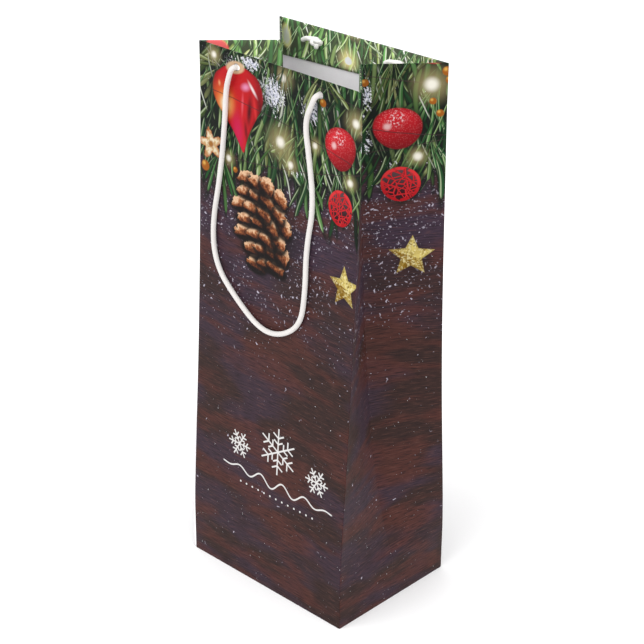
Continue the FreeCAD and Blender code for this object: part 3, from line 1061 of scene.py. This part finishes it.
# Needle colours, from deep shade to the nearest twigs
DEEP_PINE = ((0.2, ink(16, 34, 20)), (0.5, ink(30, 62, 34)), (0.8, ink(58, 84, 42)))
GREEN_PINE = ((0.2, ink(36, 84, 44)), (0.45, ink(58, 122, 62)), (0.7, ink(92, 136, 66)),
              (0.9, ink(140, 166, 100)))
OLIVE_PINE = ((0.2, ink(66, 88, 36)), (0.5, ink(112, 128, 62)), (0.8, ink(158, 164, 104)))
COOL_PINE = ((0.2, ink(28, 84, 42)), (0.5, ink(52, 126, 58)), (0.8, ink(106, 156, 86)))
PALE_PINE = ((0.2, ink(112, 134, 92)), (0.5, ink(178, 190, 160)), (0.8, ink(214, 216, 206)))

NEEDLE = (0.235, 0.43)
THIN_NEEDLE = (0.17, 0.44)


def strip(low, high):
    """Gives the share of a layer's needles that grow at a place across: 1 between low and high."""
    soft = 9

    def share(across):
        return fade(across, low - soft, low + soft) * fade(across, high + soft, high - soft)
    return share


def snow(art, edge):
    """Crumbs of snow on the wood, thickest just under the needles."""
    art.flecks(2.4, 0.75, 0.24, edge, 1, 0.85)
    art.flecks(4.4, 0.4, 0.3, edge, 2)
    art.flecks(9, 0.2, 0.12, edge, 3, 1, 0.35)
    art.flecks(3.2, 0.07, 0.16, edge, 4, 0.6, 1)


def front_art(art):
    """The front: greenery with glass and glitter ornaments over a pine cone on stained wood."""
    art.wood()
    snow(art, 256)
    art.shade_above(258, 18, 0.92)
    art.needles(14, (5, 27), NEEDLE, DEEP_PINE, 264, 0.95, 1.3)
    art.needles(-22, (5.2, 30), NEEDLE, DEEP_PINE, 268, 0.9, 2.1)
    art.needles(4, (6.2, 32), NEEDLE, GREEN_PINE, 268, 0.85, 4.2)
    art.needles(-44, (8.5, 40), NEEDLE, OLIVE_PINE, 262, 1, 3.4, strip(-90, -46))
    art.fan((-6, 304), 6, 90, 47, GREEN_PINE, 1)
    art.needles(-8, (5.6, 29), NEEDLE, OLIVE_PINE, 274, 0.75, 5.7, strip(-12, 24))
    art.fan((-38, 274), -8, 100, 44, COOL_PINE, 2)
    art.needles(58, (4.2, 32), THIN_NEEDLE, PALE_PINE, 306, 0.55, 6.3, strip(-44, 6))
    art.glow((4, 324), 3.4, 11)
    art.fan((-34, 326), -54, 90, 40, OLIVE_PINE, 15, 0.42)
    art.frost((-38, 324), (9, 8), 0, 1)
    art.fan((14, 334), -24, 80, 42, PALE_PINE, 3, 0.26)
    art.fan((28, 306), -22, 70, 44, GREEN_PINE, 4)
    art.needles(9, (6, 31), NEEDLE, COOL_PINE, 266, 0.6, 8.8, strip(14, 90))
    art.fan((22, 290), 8, 60, 52, COOL_PINE, 5)
    art.fan((56, 292), 2, 60, 44, GREEN_PINE, 6)
    art.frost((26, 312), (14, 15), -20, 1.5)
    art.frost((64, 300), (6, 22), 0, 1)
    art.frost((14, 272), (20, 6), 0, 0.8)
    art.needles(20, (3.4, 25), THIN_NEEDLE, PALE_PINE, 270, 0.26, 10.3, gloom=0.5)
    art.needles(-34, (3.6, 27), THIN_NEEDLE, GREEN_PINE, 268, 0.5, 11.7, gloom=0.5)
    art.needles(-12, (6.6, 33), NEEDLE, GREEN_PINE, 264, 0.45, 9.6)
    art.frost((-4, 313), (18, 18), 20, 1.5)
    art.frost((-21, 326), (14, 8), 0, 1.45)
    art.fan((44, 340), 4, 90, 40, OLIVE_PINE, 7)
    art.wire((-14, 338), (62.5, 320), 2, 1)
    art.wire((-62.5, 267), (62.5, 284), 5, 7)
    for place, core, halo in (((2.5, 287), 4.6, 15), ((10.5, 276), 3, 8), ((28.5, 292), 2.6, 7),
                              ((-38.5, 266.5), 2.8, 7), ((-50, 324.5), 2.8, 8), ((58, 312), 3.6, 11),
                              ((55, 278), 3, 7), ((9, 346), 3.4, 11)):
        art.glow(place, core, halo)
    art.patch((58.5, 341), (5, 9), 8, 0.3, ink(248, 232, 160), 0.85)
    for place, radius in (((34, 317.5), 2.6), ((-33, 261), 2), ((-57.5, 257), 3.6)):
        art.berry(place, radius)
    art.teardrop((-26.5, 273), 20, 49.5, 8)
    art.patch((-33, 321), (8.5, 4.2), 12, 0.7, ink(226, 190, 152))
    art.flower((-53, 271), (11, 10), 14)
    art.glitter_egg((47.3, 295), (11, 12), 6)
    art.wicker_ball((48.5, 261.7), (8.6, 10.2), 4, 1.7)
    art.wire((-52, 303), (62.5, 286), -3, 4)
    art.cone((-9.5, 236), (24.5, 28.5), 9)
    art.star((53.6, 217), (11, 12.6), 2)
    art.snowflake((8, 97), 15, 0.62)
    art.snowflake((-24, 90), 9, 0.55, 30)
    art.snowflake((40, 90), 9, 0.55, 30)
    art.flourish((8, 74), 46, 3.2, 5, 0.55)
    art.dots((8, 65.5), 31, 5, 0.75)


def side_art(art):
    """A side: the same greenery and wood with its own ornaments."""
    art.wood()
    snow(art, 256)
    art.shade_above(260, 20, 0.92)
    art.needles(10, (5, 27), NEEDLE, DEEP_PINE, 268, 0.95, 1.9)
    art.needles(-25, (5.2, 30), NEEDLE, DEEP_PINE, 270, 0.9, 2.8)
    art.needles(3, (6.2, 32), NEEDLE, GREEN_PINE, 270, 0.85, 3.7)
    art.needles(-36, (5.6, 30), NEEDLE, OLIVE_PINE, 272, 0.75, 4.9, strip(12, 44))
    art.fan((-30, 300), 4, 70, 44, GREEN_PINE, 8)
    art.fan((-4, 334), -6, 70, 42, COOL_PINE, 9)
    art.frost((-2, 306), (9, 26), 0, 1.2)
    art.frost((-42, 300), (9, 30), 0, 1.2)
    art.needles(24, (6.6, 36), NEEDLE, COOL_PINE, 274, 0.7, 5.2, strip(26, 90))
    art.fan((-8, 288), 8, 60, 50, COOL_PINE, 10)
    art.fan((26, 336), -4, 80, 40, OLIVE_PINE, 11)
    art.fan((44, 296), -10, 80, 42, GREEN_PINE, 12)
    art.fan((52, 326), -28, 60, 50, COOL_PINE, 13)
    art.needles(16, (3.4, 25), THIN_NEEDLE, PALE_PINE, 272, 0.26, 12.3, gloom=0.5)
    art.needles(-30, (3.6, 27), THIN_NEEDLE, GREEN_PINE, 272, 0.45, 13.1, gloom=0.5)
    art.needles(-10, (6.6, 33), NEEDLE, GREEN_PINE, 268, 0.4, 7.3)
    art.frost((18, 272), (12, 5), 0, 0.7)
    art.frost((3, 312), (6.5, 20), 0, 1.25)
    art.frost((4, 284), (5, 14), 0, 1)
    art.wire((-20, 327.5), (46, 317), 1, 2)
    art.wire((-46, 277), (46, 286), 3, 6)
    for place, core, halo in (((37, 318), 5.6, 15), ((30.4, 276.5), 3.6, 8), ((-9, 298), 3.4, 8),
                              ((-30, 306), 4.4, 12)):
        art.glow(place, core, halo)
    art.frost((16, 342), (12, 7), 0, 0.95)
    art.patch((38.5, 336), (8.5, 7), 0, 0.75, ink(206, 52, 62))
    for place, radius in (((45, 325.5), 3), ((46.5, 320.5), 2.6), ((38, 308.5), 2.2),
                          ((42, 301.5), 2.4), ((2, 319.5), 2.4), ((-38, 318), 2.6)):
        art.berry(place, radius)
    art.glitter_egg((19.6, 293), (13.2, 12), 2, 0.1)
    art.wicker_ball((21.2, 260.3), (10.8, 10.2), -4, 2.9)
    art.wire((4, 292.5), (46, 288), 0.8, 9)
    art.star((27.4, 216.3), (13.4, 12.6), -3)
    art.star((-24, 290), (10, 10), 20)


# ---------------------------------------------------------------- materials

def new_material(name, **settings):
    """A material with these shader settings. Returns it with its nodes and its shader."""
    material = bpy.data.materials.new(name)
    material.use_nodes = True
    tree = material.node_tree
    shader = tree.nodes["Principled BSDF"]
    for socket, value in settings.items():
        shader.inputs[socket.replace("_", " ")].default_value = value
    return material, tree, shader


def add_bump(tree, shader, height, distance):
    bump = add_node(tree, "Bump", {"Height": height, "Distance": distance, "Strength": 1}, "Normal")
    feed(tree, shader.inputs["Normal"], bump)


def paper_place(tree):
    """Place on the flat sheet, in millimetres."""
    return add_node(tree, "Attribute", {}, "Vector", attribute_name="sheet")


def object_place(tree):
    """Place in the model's frame, in millimetres."""
    return scaled(add_node(tree, "TexCoord", {}, "Object"), 1 / MM)


def blank_print(tree, place):
    """A print with nothing on it, and a gently bent copy of its places for the needles."""
    drift = scaled(clouds(place, 55, 1, output=1), 14)
    return Print(place, vectors("ADD", place, drift), add_node(tree, "RGB", {}))


def printed_material(name, art):
    """Print on smooth coated paper."""
    material, tree, shader = new_material(name, Specular_IOR_Level=0.12, IOR=1.45)
    picture = blank_print(tree, paper_place(tree))
    art(picture)
    # Painted light: the print turned in under the rim is made paler and brighter, to make up for the shade
    # inside the bag.
    turned_in = fade(picture.height, HEIGHT / MM, HEIGHT / MM + 1)
    colour = mix(turned_in * HEM_PAINTED_LIGHT_WASH, picture.colour, ink(186, 196, 160))
    colour = scaled(colour, turned_in * HEM_PAINTED_LIGHT_GAIN + INK_STRENGTH)
    feed(tree, shader.inputs["Base Color"], vectors("MINIMUM", colour, (BRIGHTEST,) * 3))
    fibres = clouds(picture.spot, 0.7)
    feed(tree, shader.inputs["Roughness"], fibres * 0.16 + 0.42)
    add_bump(tree, shader, fibres, 0.012 * MM)
    return material


def bare_paper(place, light, dark):
    """Uncoated fibres: faint clouds and hairs in two close tones."""
    cloud = clouds(place, 6, 3, 0.6)
    hairs = clouds(local(place, (0, 0), (1, 3.2), 24), 0.8, 2, 0.6)
    return mix(cloud * 0.6 + hairs * 0.4, light, dark), hairs


def white_paper_material():
    material, tree, shader = new_material("bare_paper", Roughness=0.82, Specular_IOR_Level=0.25)
    colour, hairs = bare_paper(paper_place(tree), ink(250, 248, 250), ink(240, 237, 241))
    feed(tree, shader.inputs["Base Color"], colour)
    add_bump(tree, shader, hairs, 0.03 * MM)
    return material


def cut_edge_material():
    material, tree, shader = new_material("cut_paper_edge", Roughness=0.9, Specular_IOR_Level=0.2)
    colour, _ = bare_paper(object_place(tree), ink(232, 229, 230), ink(206, 202, 204))
    feed(tree, shader.inputs["Base Color"], colour)
    return material


def card_material(name, light, dark):
    """Card or board: two tones of pulp with darker specks."""
    material, tree, shader = new_material(name, Roughness=0.88, Specular_IOR_Level=0.25)
    place = object_place(tree)
    colour, hairs = bare_paper(place, light, dark)
    distance, (chance, _, _), _ = cells(place, 2.4)
    speck = fade(distance, 0.16, 0.08) * (chance < 0.25)
    feed(tree, shader.inputs["Base Color"], mix(speck * 0.5, colour, ink(120, 112, 104)))
    add_bump(tree, shader, hairs, 0.05 * MM)
    return material


def flap_material():
    """Bottom flap: the print's wood underneath and bare paper on its other faces."""
    material, tree, shader = new_material("bottom_flap_paper", Roughness=0.55, Specular_IOR_Level=0.3)
    place = object_place(tree)
    picture = blank_print(tree, place)
    picture.wood()
    colour, hairs = bare_paper(place, ink(238, 235, 240), ink(222, 219, 226))
    _, _, facing = split(add_node(tree, "NewGeometry", {}, "Normal"))
    feed(tree, shader.inputs["Base Color"], mix(fade(facing, -0.6, -0.9), colour, picture.colour))
    add_bump(tree, shader, hairs, 0.02 * MM)
    return material


def cord_material(name, light, dark, hair):
    """Soft off-white cotton: braided ridges with fine loose fibres."""
    material, tree, shader = new_material(name, Roughness=0.86, Specular_IOR_Level=0.2,
                                          Sheen_Weight=0.25, Sheen_Roughness=0.5)
    lay = add_node(tree, "Attribute", {}, "Vector", attribute_name="lay")
    round_place = vectors("MULTIPLY", lay, (1.5, 1.5, 1))
    fibres = clouds(vectors("MULTIPLY", round_place, (3, 3, 1)), 0.5, 3, 0.6, dimensions="3D")
    cloud = clouds(round_place, 7, 2, dimensions="3D")
    base = mix(cloud, light, dark)
    feed(tree, shader.inputs["Base Color"], mix(fade(fibres, 0.5, 0.25) * 0.6, base, hair))
    add_bump(tree, shader, fibres, 0.05 * MM)
    return material


# ---------------------------------------------------------------- the bag

bare = white_paper_material()
edge = cut_edge_material()
front_paper = [printed_material("printed_face_paper", front_art), bare, edge]
side_paper = [printed_material("printed_side_paper", side_art), bare, edge]
white_card = [card_material("stiff_card", ink(226, 222, 216), ink(206, 202, 196))] * 3
cord_cotton = cord_material("cotton_cord", ink(216, 213, 210), ink(206, 202, 199), ink(180, 175, 172))
# Painted light: the knots get a lighter copy of the cord's cotton, to make up for the shade they sit in
# inside the rim.
knot_cotton_painted_lighter = cord_material("cotton_knot", ink(249, 247, 245), ink(242, 239, 236), ink(222, 218, 215))

panel("front", FRONT_MIDDLE, front_paper, white_card)
panel("back", BACK_MIDDLE, front_paper, white_card)
gusset_half("right_gusset_front", FOLDS[1], FOLDS[2], RIGHT_CREASE, side_paper)
gusset_half("right_gusset_rear", FOLDS[2], FOLDS[3], RIGHT_CREASE, side_paper)
gusset_half("left_gusset_rear", FOLDS[4], FOLDS[5], LEFT_CREASE, side_paper)
gusset_half("left_gusset_front", FOLDS[5], GIRTH, LEFT_CREASE, side_paper)
gusset_hem("right", RIGHT_CREASE, side_paper)
gusset_hem("left", LEFT_CREASE, side_paper)
glue_tab([bare, bare, edge])

handle("front", FRONT_ROUTE, FRONT_LEFT_EXIT, FRONT_RIGHT_EXIT, FRONT_MIDDLE, 1, cord_cotton, knot_cotton_painted_lighter)
handle("rear", REAR_ROUTE, REAR_LEFT_EXIT, REAR_RIGHT_EXIT, BACK_MIDDLE, -1, cord_cotton, knot_cotton_painted_lighter)

flap = flap_material()
board = card_material("base_board_card", ink(214, 206, 194), ink(190, 181, 168))
for name, material in (("rear_bottom_flap", flap), ("front_bottom_flap", flap), ("right_bottom_flap", flap),
                       ("left_bottom_flap", flap), ("base_board", board)):
    node = frame["nodes"][name]
    node.data.materials.clear()
    node.data.materials.append(material)


# ---------------------------------------------------------------- stage, light and camera

FLOOR_HALF = 4.0                    # wide enough to fill every view
SUN_SPREAD = math.radians(50)       # a wide sun throws soft shadows
SKY_LIGHT = 1.0
AZIMUTH = math.radians(43.84)
ELEVATION = math.radians(26.68)
ROLL = math.radians(0.36)
DISTANCE = 1.0928
AIM = Vector((0.0, 0.0, 0.1645))
SIDE_SHIFT = 1.8 * MM
LENS = 104.06
SENSOR = 36.0
NEAREST_SEEN = 0.05
FARTHEST_SEEN = 20.0


def floor():
    """Plain pale floor."""
    corners = [(x * FLOOR_HALF, y * FLOOR_HALF, 0.0) for x, y in ((-1, -1), (1, -1), (1, 1), (-1, 1))]
    piece = add_object("floor", corners, [(0, 1, 2, 3)])
    material, tree, shader = new_material("pale_floor", Roughness=0.9, Specular_IOR_Level=0.1)
    cloud = clouds(object_place(tree), 160.0, 2.0)
    feed(tree, shader.inputs["Base Color"], mix(cloud, ink(250, 250, 250), ink(246, 246, 247)))
    piece.data.materials.append(material)


def soft_sun(name, towards, strength):
    """Wide, even light that comes from the given direction."""
    light = bpy.data.lights.new(name, "SUN")
    light.angle = SUN_SPREAD
    light.energy = strength
    lamp = bpy.data.objects.new(name, light)
    lamp.rotation_euler = Vector(towards).to_track_quat("Z", "Y").to_euler()
    bpy.context.collection.objects.link(lamp)


def studio():
    world = bpy.data.worlds.new("studio")
    world.use_nodes = True
    background = world.node_tree.nodes["Background"]
    background.inputs["Color"].default_value = (1.0, 1.0, 1.0, 1.0)
    background.inputs["Strength"].default_value = SKY_LIGHT
    bpy.context.scene.world = world
    soft_sun("key", (-0.3, -1.2, 1.4), 0.85)
    soft_sun("fill", (1.5, -0.4, 0.9), 0.95)
    soft_sun("top", (0.1, -0.8, 1.7), 0.4)


def photo_camera():
    back = Vector((math.sin(AZIMUTH) * math.cos(ELEVATION), -math.cos(AZIMUTH) * math.cos(ELEVATION),
                   math.sin(ELEVATION)))
    right = (-back).cross(Vector((0.0, 0.0, 1.0))).normalized()
    up = right.cross(-back)
    rolled_right = right * math.cos(ROLL) + up * math.sin(ROLL)
    rolled_up = up * math.cos(ROLL) - right * math.sin(ROLL)
    lens = bpy.data.cameras.new("photo_camera")
    lens.sensor_width = SENSOR
    lens.lens = LENS
    lens.clip_start = NEAREST_SEEN
    lens.clip_end = FARTHEST_SEEN
    camera = bpy.data.objects.new("photo_camera", lens)
    axes = Matrix((rolled_right, rolled_up, back)).transposed()
    camera.matrix_world = Matrix.Translation(AIM + back * DISTANCE + right * SIDE_SHIFT) @ axes.to_4x4()
    bpy.context.collection.objects.link(camera)
    bpy.context.scene.camera = camera


floor()
studio()
photo_camera()
bpy.context.scene.view_settings.view_transform = "Standard"
